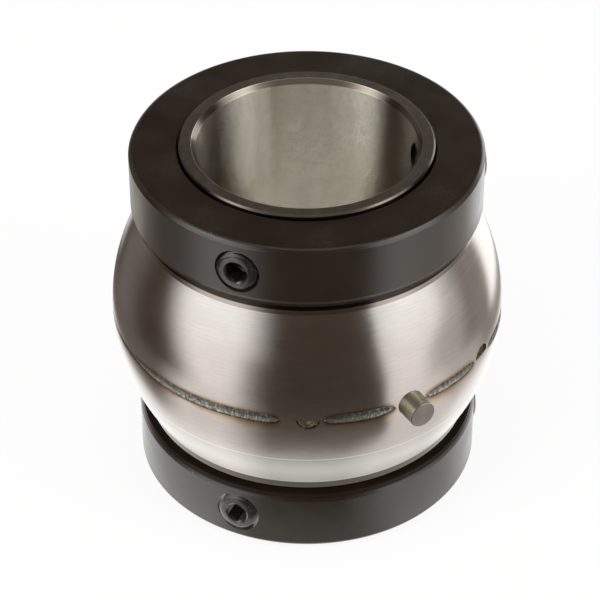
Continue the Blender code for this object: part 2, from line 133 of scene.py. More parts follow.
def azimuth_frame(azimuth, height=0.0):
    """Local +Z points away from the shaft at an azimuth, local +Y up the shaft."""
    a = math.radians(azimuth)
    outwards = Vector((math.sin(a), -math.cos(a), 0.0))
    up = Vector((0.0, 0.0, 1.0))
    turn = Matrix((up.cross(outwards), up, outwards)).transposed().to_4x4()
    turn.translation = up * height * MM
    return turn


def make_object(name, points, faces, matrix=None):
    mesh = bpy.data.meshes.new(name)
    mesh.from_pydata((np.asarray(points, float) * MM).tolist(), [], faces)
    bm = bmesh.new()
    bm.from_mesh(mesh)
    bmesh.ops.remove_doubles(bm, verts=bm.verts, dist=1e-7)
    bmesh.ops.dissolve_degenerate(bm, edges=bm.edges, dist=1e-8)
    bmesh.ops.recalc_face_normals(bm, faces=bm.faces)
    bm.to_mesh(mesh)
    bm.free()
    obj = bpy.data.objects.new(name, mesh)
    bpy.context.scene.collection.objects.link(obj)
    if matrix is not None:
        obj.matrix_world = matrix
    return obj


def grid_faces(rows, columns, wrap_rows=True, wrap_columns=True):
    faces = []
    for i in range(rows if wrap_rows else rows - 1):
        for j in range(columns if wrap_columns else columns - 1):
            k, m = (i + 1) % rows, (j + 1) % columns
            faces.append((i * columns + j, i * columns + m, k * columns + m, k * columns + j))
    return faces


def tube_faces(rows, columns):
    """The sides and both ends of a closed tube."""
    last = columns * (rows - 1)
    ends = [tuple(range(columns)), tuple(last + k for k in reversed(range(columns)))]
    return grid_faces(rows, columns, wrap_rows=False) + ends


def rounded(section, radii, steps=4):
    """A closed section with its corners rounded, each with its own radius."""
    pts = [np.array(p, float) for p in section]
    count = len(pts)
    out = []
    for i, p in enumerate(pts):
        a, b = pts[i - 1] - p, pts[(i + 1) % count] - p
        la, lb = np.linalg.norm(a), np.linalg.norm(b)
        a, b = a / la, b / lb
        half = math.acos(max(-1.0, min(1.0, float(a @ b)))) / 2.0
        if radii[i] <= 0.0 or half > math.radians(88.0):
            out.append(p)
            continue
        reach = min(radii[i] / math.tan(half), 0.45 * la, 0.45 * lb)
        r = reach * math.tan(half)
        centre = p + (a + b) / np.linalg.norm(a + b) * (r / math.sin(half))
        first, last = p + a * reach - centre, p + b * reach - centre
        for s in range(steps + 1):
            mixed = first * (1 - s / steps) + last * (s / steps)
            out.append(centre + mixed / np.linalg.norm(mixed) * r)
    return [tuple(p) for p in out]


def turned(name, section, segments, matrix=None):
    """A closed piece turned about its local Z."""
    pts = np.array(section, float)
    angles = np.arange(segments) * math.tau / segments
    points = np.stack([
        np.outer(np.sin(angles), pts[:, 0]),
        -np.outer(np.cos(angles), pts[:, 0]),
        np.broadcast_to(pts[:, 1], (segments, len(pts))),
    ], -1).reshape(-1, 3)
    return make_object(name, points, grid_faces(segments, len(pts)), matrix)


def mirrored(section):
    return [(r, -z) for r, z in reversed(section)]


def cut_by(obj, cutters):
    """Takes the cutters out of the piece for good."""
    for cutter in cutters:
        boolean = obj.modifiers.new("cut", 'BOOLEAN')
        boolean.operation = 'DIFFERENCE'
        boolean.solver = 'EXACT'
        boolean.object = cutter
    bpy.context.view_layer.update()
    graph = bpy.context.evaluated_depsgraph_get()
    mesh = bpy.data.meshes.new_from_object(obj.evaluated_get(graph))
    obj.modifiers.clear()
    obj.data = mesh


def drop(objects):
    for obj in objects:
        bpy.data.objects.remove(obj, do_unlink=True)


def true_normals(obj, ball=None, holes=()):
    """Exact normals on ball, drilled and turned faces, so that no facet shows in a reflection.

    holes lists the frame and the radius, in mm, of each round hole.
    """
    on_ball = 6e-6  # how far, in m, the corners of a face of the ball may differ in reach
    flat_end, hole_wall = 0.02, 0.5  # least slope of a turned face, and of a hole's
    off_axis = 0.03  # how far a turned face may look past its axis
    mesh = obj.data
    frames = [(np.array(m.to_3x3()), np.array(m.translation), r * MM) for m, r in holes]
    frames.append((np.eye(3), np.zeros(3), 1.0))
    co = np.array([v.co for v in mesh.vertices])
    normals = np.zeros((len(mesh.loops), 3))
    for face in mesh.polygons:
        ids = list(face.vertices)
        loops = list(face.loop_indices)
        n = np.array(face.normal)
        normals[loops] = n
        corners = co[ids]
        reaches = np.linalg.norm(corners, axis=1)
        if ball and np.ptp(reaches) < on_ball and reaches[0] > ball * 0.999 * MM:
            normals[loops] = corners / reaches[:, None]
            continue
        centre = np.array(face.center)
        for turn, origin, reach in frames:
            local_n = n @ turn
            local_c = (centre - origin) @ turn
            flat = math.hypot(local_n[0], local_n[1])
            far = math.hypot(local_c[0], local_c[1])
            if far > reach or far < 1e-6 or local_c[2] < 0.0 and reach < 1.0:
                continue
            if reach < 1.0 and flat < hole_wall:
                continue
            if flat < flat_end:
                break
            across = (local_n[1] * local_c[0] - local_n[0] * local_c[1]) / far
            if abs(across) > off_axis:
                continue
            local_v = (corners - origin) @ turn
            inwards = math.pi if local_n[0] * local_c[0] + local_n[1] * local_c[1] < 0 else 0.0
            a = np.arctan2(local_v[:, 1], local_v[:, 0]) + inwards
            made = np.stack([flat * np.cos(a), flat * np.sin(a), np.full(len(a), local_n[2])], 1)
            normals[loops] = made @ turn.T
            break
    mesh.polygons.foreach_set("use_smooth", [True] * len(mesh.polygons))
    mesh.normals_split_custom_set(normals.tolist())


def smooth(obj, angle):
    mesh = obj.data
    mesh.polygons.foreach_set("use_smooth", [True] * len(mesh.polygons))
    bm = bmesh.new()
    bm.from_mesh(mesh)
    for edge in bm.edges:
        edge.smooth = edge.calc_face_angle(0.0) < math.radians(angle)
    bm.to_mesh(mesh)
    bm.free()
    return obj


def wobble(*place, scale):
    """Smooth, repeatable noise between about -1 and 1."""
    x, y, z = (list(place) + [0.0, 0.0])[:3]
    return noise.noise(Vector((x * scale, y * scale, z * scale)))


# Material building. The first functions are short names for nodes that repeat.

def node(tree, kind, inputs=None, **settings):
    made = tree.nodes.new(kind)
    for key, value in settings.items():
        setattr(made, key, value)
    for key, value in (inputs or {}).items():
        if isinstance(value, bpy.types.NodeSocket):
            tree.links.new(value, made.inputs[key])
        else:
            made.inputs[key].default_value = value
    return made


def tree_of(*values):
    """The node tree of the first value that is an output of a node."""
    return next(value.id_data for value in values if isinstance(value, bpy.types.NodeSocket))


def maths(operation, *values, clamp=False):
    made = node(tree_of(*values), 'ShaderNodeMath', dict(enumerate(values)), operation=operation)
    made.use_clamp = clamp
    return made.outputs[0]


def vector_maths(operation, *values):
    made = node(tree_of(*values), 'ShaderNodeVectorMath', dict(enumerate(values)), operation=operation)
    return made.outputs[0]


def plus(first, second, clamp=False):
    return maths('ADD', first, second, clamp=clamp)


def minus(first, second):
    return maths('SUBTRACT', first, second)


def times(*values):
    product = values[0]
    for value in values[1:]:
        product = maths('MULTIPLY', product, value)
    return product


def larger(first, second):
    return maths('MAXIMUM', first, second)


def size_of(value):
    return maths('ABSOLUTE', value)


def distance(across, along):
    return maths('SQRT', plus(times(across, across), times(along, along)))


def window(value, low, high, smoothly=True, ends=(0.0, 1.0)):
    """The first end at low and before, the second at high and beyond; low may be the larger one."""
    made = node(value.id_data, 'ShaderNodeMapRange', {
        "Value": value, "From Min": low, "From Max": high, "To Min": ends[0], "To Max": ends[1]},
        interpolation_type='SMOOTHSTEP' if smoothly else 'LINEAR')
    return made.outputs["Result"]


def past(value, edge, run):
    """Rises from 0 to 1 within run mm of an edge in mm, and falls if run is negative."""
    return window(value, (edge - run) * MM, (edge + run) * MM)


def mix_values(factor, first, second):
    inputs = {0: factor, 2: first, 3: second}
    return node(tree_of(*inputs.values()), 'ShaderNodeMix', inputs).outputs[0]


def blend(factor, first, second, mode='MIX'):
    """Mixes two colours, each an output of a node or three numbers."""
    first, second = (c if isinstance(c, bpy.types.NodeSocket) else (*c, 1.0) for c in (first, second))
    inputs = {0: factor, 6: first, 7: second}
    made = node(tree_of(*inputs.values()), 'ShaderNodeMix', inputs, data_type='RGBA', blend_type=mode)
    return made.outputs[2]


def ramp(factor, stops):
    made = node(factor.id_data, 'ShaderNodeValToRGB', {0: factor})
    elements = made.color_ramp.elements
    elements.remove(elements[1])
    elements[0].position = stops[0][0]
    elements[0].color = (*stops[0][1], 1.0)
    for place, colour in stops[1:]:
        elements.new(place).color = (*colour, 1.0)
    return made.outputs["Color"]


def grain(place, scale, detail, rough, stretch=(1.0, 1.0, 1.0)):
    """Noise in a place that is stretched by three factors."""
    moved = vector_maths('MULTIPLY', place, stretch)
    made = node(place.id_data, 'ShaderNodeTexNoise', {
        "Vector": moved, "Scale": scale, "Detail": detail, "Roughness": rough})
    return made.outputs["Fac"]


def around(place):
    """Distance from the local Z axis, height, and azimuth in degrees from local -Y."""
    x, y, z = node(place.id_data, 'ShaderNodeSeparateXYZ', {0: place}).outputs
    turn = maths('ARCTAN2', x, times(y, -1.0))
    return distance(x, y), z, times(turn, 180.0 / math.pi)


def turning(place, scale, drift=0.05):
    """Noise in streaks that run round the local Z axis, on turned sides and on flat ends."""
    radius, height, _ = around(place)
    drifted = vector_maths('MULTIPLY', place, (drift, drift, 0.0))
    flat = node(place.id_data, 'ShaderNodeCombineXYZ', {0: radius, 1: height}).outputs[0]
    return grain(vector_maths('ADD', drifted, flat), scale, 4.0, 0.6)


def new_material(name, roughness, metallic=1.0, **fixed):
    material = bpy.data.materials.new(name)
    material.use_nodes = True
    tree = material.node_tree
    shader = tree.nodes["Principled BSDF"]
    for key, value in {"Metallic": metallic, "Roughness": roughness, **fixed}.items():
        shader.inputs[key.replace("_", " ")].default_value = value
    return material, shader, node(tree, 'ShaderNodeTexCoord').outputs["Object"]


def feed(shader, **values):
    """Links values to the inputs of a shader."""
    for key, value in values.items():
        shader.id_data.links.new(value, shader.inputs[key.replace("_", " ")])


def set_bump(shader, height, depth):
    made = node(shader.id_data, 'ShaderNodeBump', {"Height": height, "Strength": 1.0, "Distance": depth})
    feed(shader, Normal=made.outputs[0])


def brushed(name, dark, light, roughness, spread, groove, lines=2600.0, drift=0.05, anisotropy=0.0):
    """Machined steel: streaks run round the local Z axis, with mottling and fine grooves."""
    quarter_turn = 0.25
    material, shader, place = new_material(name, roughness, Anisotropic=anisotropy,
                                           Anisotropic_Rotation=quarter_turn)
    streaks = turning(place, lines, drift)
    clouds = grain(place, 90.0, 4.0, 0.6)
    mixed = plus(times(streaks, 0.45), times(clouds, 0.55))
    colour = ramp(mixed, [(0.36, dark), (0.64, light)])
    rough = window(mixed, 0.3, 0.7, False, (roughness - spread, roughness + spread))
    feed(shader, Base_Color=colour, Roughness=rough)
    if anisotropy:
        tangent = node(shader.id_data, 'ShaderNodeTangent', direction_type='RADIAL', axis='Z')
        feed(shader, Tangent=tangent.outputs[0])
    set_bump(shader, streaks, groove)
    return material, shader, place, colour


def weld_distance(turn, height):
    """Distance in mm from the edge of the nearest weld bead, which counts for more past its ends."""
    nearest = None
    for start, end in WELDS.values():
        beyond = larger(minus(start, turn), minus(turn, end))
        nearest = beyond if nearest is None else maths('MINIMUM', nearest, beyond)
    along = times(nearest, math.radians(BALL_R))
    inset = plus(maths('DIVIDE', along, WELD_TAPER), 1.0, clamp=True)
    half = maths('SQRT', minus(1.0, times(inset, inset)))
    tip = window(along, -TIP_RUN, 0.0)
    thin = times(window(turn, THIN_FROM, THIN_FROM - THIN_RUNS[0]),
                 window(turn, THIN_TO, THIN_TO + THIN_RUNS[1]))
    half = times(half, minus(1.0, times(tip, TIP_SHARE)),
                 minus(1.0, times(thin, THIN_SHARE)), WELD_HALF)
    above = times(size_of(height), 1.0 / MM)
    beside = larger(minus(above, half), 0.0)
    beyond_end = times(larger(along, 0.0), 2.5)
    return distance(beyond_end, beside)


def race_material():
    """Ground ball: fine streaks, heat tint beside the weld, a few handling marks, a painted highlight along
    the fine line, painted shade on both lands and a painted shadow under the upper collar.
    """
    material, shader, place, colour = brushed(
        "race_steel", (0.66, 0.62, 0.585), (0.76, 0.715, 0.68), 0.21, 0.025, 0.0000012, anisotropy=0.5)
    _, height, turn = around(place)
    spots = grain(place, 260.0, 4.0, 0.6, (1.0, 1.0, 1.6))
    patches = grain(place, 75.0, 2.0, 0.5)
    widest = plus(times(past(height, 0.0, -0.3), 1.9), 0.7)
    reach = times(widest, window(patches, 0.36, 0.66, False))
    away = weld_distance(turn, height)
    level = minus(1.0, maths('DIVIDE', away, plus(reach, 0.65)))
    uneven = times(minus(spots, 0.5), 0.5, window(level, 0.0, 0.3))
    tint = ramp(plus(level, uneven, clamp=True), [
        (0.0, (1.0, 1.0, 1.0)), (0.2, (0.98, 0.95, 0.89)), (0.45, (0.91, 0.82, 0.70)),
        (0.68, (0.80, 0.65, 0.49)), (0.86, (0.57, 0.43, 0.31)), (1.0, (0.36, 0.30, 0.24))])
    colour = blend(1.0, colour, tint, 'MULTIPLY')
    marks = grain(place, 60.0, 5.0, 0.7, (0.35, 0.35, 14.0))
    worn = times(window(marks, 0.66, 0.72), 0.35)
    colour = blend(worn, colour, (0.36, 0.32, 0.29))
    # Painted highlight: a thin bright line painted on the ball along the fine line below the seam.
    line = -BALL_R * math.sin(math.radians(BALL_LINE)) * MM
    off_line = size_of(minus(height, line))
    colour = blend(past(off_line, 0.11, -0.05), colour, (0.95, 0.95, 0.92))
    land = LAND_START[1]
    # Painted shade: the lower land is painted near black.
    colour = blend(past(height, -land, -0.05), colour, (0.12, 0.10, 0.085))
    # Painted shade: the upper land is painted a darker brown grey.
    upper_land_painted_shade = times(past(height, land, 0.05), 0.7)
    colour = blend(upper_land_painted_shade, colour, (0.42, 0.37, 0.33))
    # Painted shadow: a near-black band painted on the top of the upper land, under the upper collar.
    painted_collar_shadow = times(past(height, PAINTED_SHADOW_FROM, 0.1), 0.95)
    colour = blend(painted_collar_shadow, colour, (0.03, 0.024, 0.019))
    feed(shader, Base_Color=colour)
    return material


def ring_material():
    """Ground ring: fine scratches round the bore spread its reflections along the shaft. Its edge break,
    lead-in chamfer and end face are painted dark, as painted shade.
    """
    material, shader, place, colour = brushed(
        "ring_steel", (0.64, 0.60, 0.53), (0.76, 0.72, 0.64), 0.15, 0.04, 0.0000020)
    radius, height, _ = around(place)
    blotches = window(grain(place, 330.0, 5.0, 0.7), 0.42, 0.62)
    dull = times(past(radius, BORE_R + 1.0, 0.2), blotches, 0.6)
    colour = blend(dull, colour, (1.0, 0.95, 0.89))
    specks = window(grain(place, 3200.0, 2.0, 0.6), 0.42, 0.66)
    colour = blend(times(specks, 0.2), colour, (0.36, 0.34, 0.30))
    # Painted shade: the outer edge break, the lead-in chamfer and the end face are painted darker.
    rim_painted_shade = past(radius, RING_R - RING_BREAK, 0.06)
    colour = blend(times(rim_painted_shade, 0.92), colour, (0.13, 0.11, 0.09))
    lead_in_painted_shade = times(past(radius, BORE_R + 0.07, 0.05), past(radius, BORE_R + 0.975, -0.025))
    colour = blend(times(lead_in_painted_shade, 0.92), colour, (0.25, 0.215, 0.18))
    face = times(past(radius, BORE_R + LEAD_IN[0], 0.05),
                 past(size_of(height), RING_HALF - 0.055, 0.025))
    face_painted_shade = times(face, minus(1.0, rim_painted_shade), 0.6)
    colour = blend(face_painted_shade, colour, (0.09, 0.078, 0.065))
    plain_rough = shader.inputs["Roughness"].links[0].from_socket
    feed(shader, Base_Color=colour, Roughness=mix_values(face, plain_rough, 0.34))

    bore = window(radius, (BORE_R + 0.06) * MM, (BORE_R + 0.01) * MM, False)
    fine = vector_maths('MULTIPLY', place, (9.1e5, 8.3e5, 7.7e5))
    jitter = node(place.id_data, 'ShaderNodeTexWhiteNoise', {"Vector": fine}).outputs["Value"]
    tilt = times(minus(jitter, 0.5), times(bore, 1.9))
    along = node(place.id_data, 'ShaderNodeCombineXYZ', {2: tilt}).outputs[0]
    bump = shader.inputs["Normal"].links[0].from_socket
    feed(shader, Normal=vector_maths('NORMALIZE', vector_maths('ADD', bump, along)))
    return material


def pin_material():
    """Turned pin: rougher lines round its side, a darker face with rings."""
    side_rough, face_rough = 0.40, 0.27
    material, shader, place, colour = brushed(
        "pin_steel", (0.40, 0.365, 0.27), (0.66, 0.61, 0.48), side_rough, 0.05, 0.00002,
        lines=3600.0, anisotropy=0.7)
    _, height, _ = around(place)
    face = past(height, BALL_R + PIN_PROUD - 0.035, 0.015)
    feed(shader, Base_Color=blend(times(face, 0.8), colour, (0.20, 0.175, 0.17)),
         Roughness=window(face, 0.0, 1.0, False, (side_rough, face_rough)))
    return material


def weld_material():
    """Weld metal: grey and lumpy, with painted light: darker on its upper half and painted lighter on its
    lower half, where it turns down to the floor.
    """
    material, shader, place = new_material("weld_oxide", 0.42)
    _, height, _ = around(place)
    lumps = grain(place, 1500.0, 4.0, 0.6)
    colour = ramp(lumps, [
        (0.35, (0.22, 0.225, 0.21)), (0.52, (0.37, 0.39, 0.365)), (0.70, (0.68, 0.71, 0.67))])
    # Painted shade and painted reflection: the colour is darker on the upper half of each bead and lighter on
    # the lower half.
    shade = blend(past(height, -0.05, -0.65), (0.52, 0.51, 0.49), (1.38, 1.38, 1.34))
    feed(shader, Base_Color=blend(1.0, colour, shade, 'MULTIPLY'),
         Roughness=window(lumps, 0.95, 0.1, False))
    set_bump(shader, lumps, 0.00005)
    return material


def oxide_material(name, roughness, base, edges=()):
    """Black oxide over machined steel: near black, glossy, with bare chips on its edges."""
    material, shader, place = new_material(name, roughness, 0.0, IOR=1.9)
    streaks = turning(place, 1500.0)
    clouds = grain(place, 70.0, 5.0, 0.62)
    colour = ramp(clouds, [(0.3, tuple(0.75 * c for c in base)), (0.7, tuple(1.35 * c for c in base))])
    rough = window(clouds, 0.3, 0.7, False, (roughness - 0.05, roughness + 0.06))
    if edges:
        radius, height, _ = around(place)
        height = size_of(height)
        bare = None
        for r, z in edges:
            away = distance(minus(radius, r * MM), minus(height, z * MM))
            near = past(away, 0.225, -0.125)
            bare = near if bare is None else larger(bare, near)
        chips = window(grain(place, 1300.0, 3.0, 0.7), 0.70, 0.76)
        colour = blend(times(bare, chips), colour, (0.55, 0.51, 0.45))
        inner_side = past(height, COLLAR_IN + 1.05, -0.3)
        feed(shader, Specular_IOR_Level=window(inner_side, 0.0, 1.0, False, (0.5, 0.06)))
    feed(shader, Base_Color=colour, Roughness=rough)
    set_bump(shader, plus(streaks, times(clouds, 0.4)), 0.0000025)
    return material


def grease_material():
    material, shader, place = new_material("grease", 0.12, 0.0, IOR=1.48)
    lumps = grain(place, 700.0, 4.0, 0.6)
    feed(shader, Base_Color=ramp(lumps, [
        (0.35, (0.026, 0.020, 0.013)), (0.5, (0.048, 0.046, 0.022)),
        (0.62, (0.10, 0.11, 0.045)), (0.75, (0.24, 0.22, 0.14))]))
    set_bump(shader, lumps, 0.0003)
    return material


def rubber_material():
    material, shader, place = new_material("seal_rubber", 0.62, 0.0)
    specks = grain(place, 1500.0, 4.0, 0.6)
    feed(shader, Roughness=window(specks, 1.4, 0.0, False),
         Base_Color=ramp(specks, [(0.3, (0.016, 0.016, 0.017)), (0.7, (0.035, 0.034, 0.033))]))
    set_bump(shader, specks, 0.00002)
    return material


RACE = race_material()
WELD = weld_material()
RING = ring_material()
PIN = pin_material()
COLLAR = oxide_material("collar_oxide", 0.24, (0.0135, 0.0085, 0.0052), [
    (COLLAR_R, COLLAR_OUT - COLLAR_OUTER_BREAK[1]), (COLLAR_R - COLLAR_OUTER_BREAK[0], COLLAR_OUT),
    (COLLAR_R, COLLAR_IN + COLLAR_INNER_BREAK[1]), (COLLAR_R - COLLAR_INNER_BREAK[0], COLLAR_IN)])
SCREW = oxide_material("screw_oxide", 0.22, (0.012, 0.009, 0.006))
GREASE = grease_material()
CAD_MATERIALS = {
    "ground_steel": RACE,
    "ring_steel": RING,
    "roller_steel": brushed("roller_steel", (0.62, 0.61, 0.60), (0.72, 0.71, 0.70), 0.12, 0.03, 0.000001)[0],
    "cage_steel": brushed("cage_steel", (0.38, 0.37, 0.35), (0.52, 0.51, 0.49), 0.42, 0.06, 0.000008,
                          lines=900.0, drift=0.4)[0],
    "seal_sheet": brushed("seal_sheet", (0.46, 0.46, 0.46), (0.60, 0.60, 0.59), 0.36, 0.06, 0.000004)[0],
    "seal_rubber": rubber_material(),
    "black_oxide": COLLAR,
    "screw_steel": SCREW,
    "pin_steel": PIN,
    "weld_metal": WELD,
}


def dress(obj, material, body, slot, *nodes):
    obj.data.materials.clear()
    obj.data.materials.append(material)
    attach(obj, body)
    if nodes:
        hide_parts(*nodes)
    return obj


# Weld: the path of each bead, its groove and its rippled face

def smooth_step(value):
    share = np.clip(value, 0.0, 1.0)
    return share * share * (3.0 - 2.0 * share)


def weld_path(span, step):
    """Places along a bead in mm round the ball, closer together at its ends, and half its width there."""
    start, end = (math.radians(a) * BALL_R for a in span)
    ends = [WELD_TAPER * (1 - math.cos(math.radians(a))) for a in range(0, 91, 9)]
    middle = np.arange(start + WELD_TAPER + step, end - WELD_TAPER, step)
    places = np.array([start + e for e in ends] + list(middle) + [end - e for e in reversed(ends)])
    inset = np.minimum(places - start, end - places)
    share = np.clip(inset / WELD_TAPER, 0.0, 1.0)
    half = WELD_HALF * (1.0 - (1.0 - share) ** 2) ** 0.5
    half *= 1.0 - TIP_SHARE + TIP_SHARE * smooth_step(inset / TIP_RUN)
    turn = (np.degrees(places / BALL_R) + 180.0) % 360.0 - 180.0
    thin = smooth_step((THIN_FROM - turn) / THIN_RUNS[0]) * smooth_step((turn - THIN_TO) / THIN_RUNS[1])
    half *= 1.0 - THIN_SHARE * thin
    return places, half


def edge_shift(place, side):
    """How far the bead's upper or lower edge wanders, in mm."""
    return 0.07 * wobble(place, side * 40.0, scale=0.55) + 0.04 * wobble(place, side * 90.0, scale=1.9)


def weld_groove(name, span):
    floor, outside = BALL_R - WELD_DEPTH, BALL_R + 1.5
    places, half = weld_path(span, 0.6)
    points = []
    for s, h in zip(places, half):
        a = s / BALL_R
        for r, side in ((floor, -1), (outside, -1), (outside, 1), (floor, 1)):
            z = side * (max(h - 0.04, 0.02) + edge_shift(s, side) * min(1.0, h))
            points.append((r * math.sin(a), -r * math.cos(a), z))
    return make_object(name + "_groove", points, tube_faces(len(places), 4))


def weld_bead(name, span):
    places, half = weld_path(span, 0.14)
    across = np.linspace(-1.0, 1.0, 15)
    low = BALL_R - WELD_DEPTH + 0.25
    points = []
    for s, h in zip(places, half):
        a = s / BALL_R
        h = max(h - WELD_GAP, 0.01)
        peak = 0.30 * wobble(s, 7.0, scale=0.12) - 0.12
        swell = 1.0 + 0.35 * wobble(s, 3.0, scale=0.3)
        row = []
        for t in across:
            side = 1 if t > 0 else -1
            z = t * (h + edge_shift(s, side) * min(1.0, h))
            reach = (t - peak) / ((1 - peak) if t > peak else (1 + peak))
            crown = WELD_CROWN * swell * (1 - abs(reach) ** 2.1) * min(1.0, h / 0.9)
            phase = math.tau * (s + 0.55 * t * t) / RIPPLE_PITCH + 1.5 * wobble(s, 11.0, scale=0.8)
            ripple = 0.028 * math.sin(phase)
            lumps = 0.045 * wobble(s, z, 5.0, scale=1.7) + 0.02 * wobble(s, z, 9.0, scale=4.0)
            sink = WELD_SINK - (0.24 * abs(t) ** 1.5 if t < 0 else 0.0)
            level = -sink + crown + (ripple + lumps) * (1 - t ** 6)
            row.append((math.sqrt(BALL_R ** 2 - z * z) + min(level, -0.03), z))
        row = [(low, row[0][1])] + row + [(low, row[-1][1])]
        points += [(r * math.sin(a), -r * math.cos(a), z) for r, z in row]
    obj = make_object(name + "_fine", points, tube_faces(len(places), len(across) + 2))
    return dress(smooth(obj, 50.0), WELD, "outer_race", "weld_metal", name)


# Outer race, two halves with the weld grooves, pin hole and grease notches cut in

def race_section(lined):
    """Half of the outer race above the seam; one half has a fine line round its ball."""
    seam, rows, fine_step, fine_to = 0.003, 26, 0.35, 6.0
    start = math.asin(LAND_START[1] / BALL_R)
    heights = [BALL_R * math.sin(start * (1 - k / rows)) for k in range(rows)]
    fine = list(np.arange(fine_step, fine_to, fine_step))[::-1]
    heights = [h for h in heights if h > fine_to + 0.2] + fine + [seam]
    if lined:
        line = BALL_R * math.sin(math.radians(BALL_LINE))
        heights = [h for h in heights if abs(h - line) > 0.3] + [line - 0.08, line + 0.08]
        heights.sort(reverse=True)
    ball = [(math.sqrt(BALL_R ** 2 - h * h) - (LINE_STEP if lined and h > line else 0.0), h) for h in heights]
    corners = [(SEAT_R, RACE_END), (LAND_END_R, RACE_END), LAND_START]
    inner = [(GREASE_R, seam), (GREASE_R, OUTER_LARGE[1] - 0.35), OUTER_LARGE,
             OUTER_SMALL, (OUTER_SMALL[0], SEAT_Z), (SEAT_R, SEAT_Z)]
    plain = corners + ball[1:] + inner
    return rounded(plain, [0.3, 0.18, 0.05] + [0.0] * (len(plain) - 3))


def radial_cutter(name, azimuth, radius, segments):
    inside, outside = 40.5, 52.0
    section = [(0.0, outside), (radius, outside), (radius, inside), (0.0, inside)]
    return turned(name, section, segments, azimuth_frame(azimuth))


def make_race():
    grooves = [weld_groove(name, span) for name, span in WELDS.items()]
    pin_hole = radial_cutter("pin_hole", PIN_AZIMUTH, PIN_R + 0.03, 96)
    notches = {side: radial_cutter("notch_" + side, az, NOTCH_R, 72) for side, az in NOTCHES.items()}
    for side, section in (("upper", race_section(False)), ("lower", mirrored(race_section(True)))):
        half = turned("race_half_" + side, section, 360)
        cut_by(half, [pin_hole, notches[side], *grooves])
        true_normals(half, ball=BALL_R)
        dress(half, RACE, "outer_race", "ground_steel", "outer_race_" + side)
    drop([pin_hole, *notches.values(), *grooves])
    for name, span in WELDS.items():
        weld_bead(name, span)


def make_grease(side, azimuth):
    """Lumpy grease that fills one half-round notch to a little below the ball."""
    sign = 1 if side == "upper" else -1
    rings, spokes = 14, 40
    top, bottom = [], []
    for i in range(rings + 1):
        for j in range(spokes + 1):
            reach = (NOTCH_R - 0.06) * i / rings
            a = math.pi * j / spokes
            u, z = reach * math.cos(a), sign * (reach * math.sin(a) + 0.02)
            lumps = 0.26 * wobble(u, z, azimuth, scale=1.3) + 0.14 * wobble(u, z, azimuth + 5.0, scale=3.1)
            edge = max(0.0, 1 - (1 - i / rings) * 5)
            depth = 0.55 + lumps + 0.25 * edge
            top.append((u, z, math.sqrt(BALL_R ** 2 - u * u - z * z) - depth))
            bottom.append((u, z, BALL_R - 2.2))
    columns = spokes + 1
    count = (rings + 1) * columns
    faces = grid_faces(rings + 1, columns, False, False)
    faces += [tuple(count + k for k in reversed(f)) for f in faces]
    border = [rings * columns + j for j in range(columns)]
    border += [i * columns + spokes for i in range(rings - 1, -1, -1)]
    border += [i * columns for i in range(1, rings + 1)]
    faces += [(a, b, b + count, a + count) for a, b in zip(border, border[1:])]
    obj = make_object("grease_" + side, np.array(top + bottom), faces, azimuth_frame(azimuth))
    return dress(smooth(obj, 60.0), GREASE, "outer_race", "seal_rubber")


# Anti-rotation pin with its turned side and end

def make_pin():
    end = BALL_R + PIN_PROUD
    side = [(PIN_R - 0.012 * (k % 2), end - 0.28 - 0.11 * k) for k in range(60)]
    face = [(r, end - 0.012 * (k % 2)) for k, r in enumerate(np.arange(0.12, PIN_R - 0.25, 0.14))]
    section = [(0.0, end)] + face + [(PIN_R - 0.22, end), (PIN_R - 0.05, end - 0.09)] + side
    section += [(PIN_R, PIN_ROOT + 0.25), (PIN_R - 0.25, PIN_ROOT), (0.0, PIN_ROOT)]
    obj = turned("pin_fine", section, 96, azimuth_frame(PIN_AZIMUTH))
    return dress(smooth(obj, 20.0), PIN, "outer_race", "pin_steel", "anti_rotation_pin")


# Inner ring and collars

def drill(obj, side=0):
    """Cuts the screw holes of one side, or all of them, and sets the exact normals."""
    cutters, holes = [], []
    for name, (screw_side, azimuth) in SCREWS.items():
        if side and screw_side != side:
            continue
        matrix = azimuth_frame(azimuth, screw_side * SCREW_Z)
        mouth = SCREW_HOLE_R + COUNTERSINK[0]
        section = [(0.0, COLLAR_R + 2), (mouth + 0.35, COLLAR_R + 2), (mouth + 0.35, COLLAR_R + 0.5),
                   (mouth, COLLAR_R - 0.02), (SCREW_HOLE_R, COLLAR_R - COUNTERSINK[1]),
                   (SCREW_HOLE_R, BORE_R - 3.0), (0.0, BORE_R - 3.0)]
        cutters.append(turned(name + "_hole", section, 72, matrix))
        holes.append((matrix, mouth + 0.02))
    cut_by(obj, cutters)
    drop(cutters)
    true_normals(obj, holes=holes)


def make_ring():
    upper = [
        (BORE_R + LEAD_IN[0], RING_HALF),
        (RING_R - RING_BREAK, RING_HALF),
        (RING_R, RING_HALF - RING_BREAK),
        (RING_R, LIP_FOOT + LIP_WIDTH),
        (LIP_R, LIP_FOOT + LIP_WIDTH / 2),
        (LIP_R, LIP_FOOT),
        (INNER_SMALL[0], LIP_FOOT),
        INNER_SMALL,
        (INNER_LARGE[0], INNER_LARGE[1] - 0.3),
        (RIB_R, INNER_LARGE[1] - 0.3 + RIB_SLOPE),
    ]
    radii = [0.12, 0.12, 0.12, 0.1, 0.1, 0.1, 0.05, 0.0, 0.05, 0.2]
    bore = [(BORE_R, -(RING_HALF - LEAD_IN[1])), (BORE_R, RING_HALF - LEAD_IN[1])]
    section = rounded(upper + mirrored(upper) + bore, radii + radii[::-1] + [0.25, 0.25])
    ring = turned("ring_fine", section, 384)
    drill(ring)
    return dress(ring, RING, "shaft_group", "ring_steel", "inner_ring")


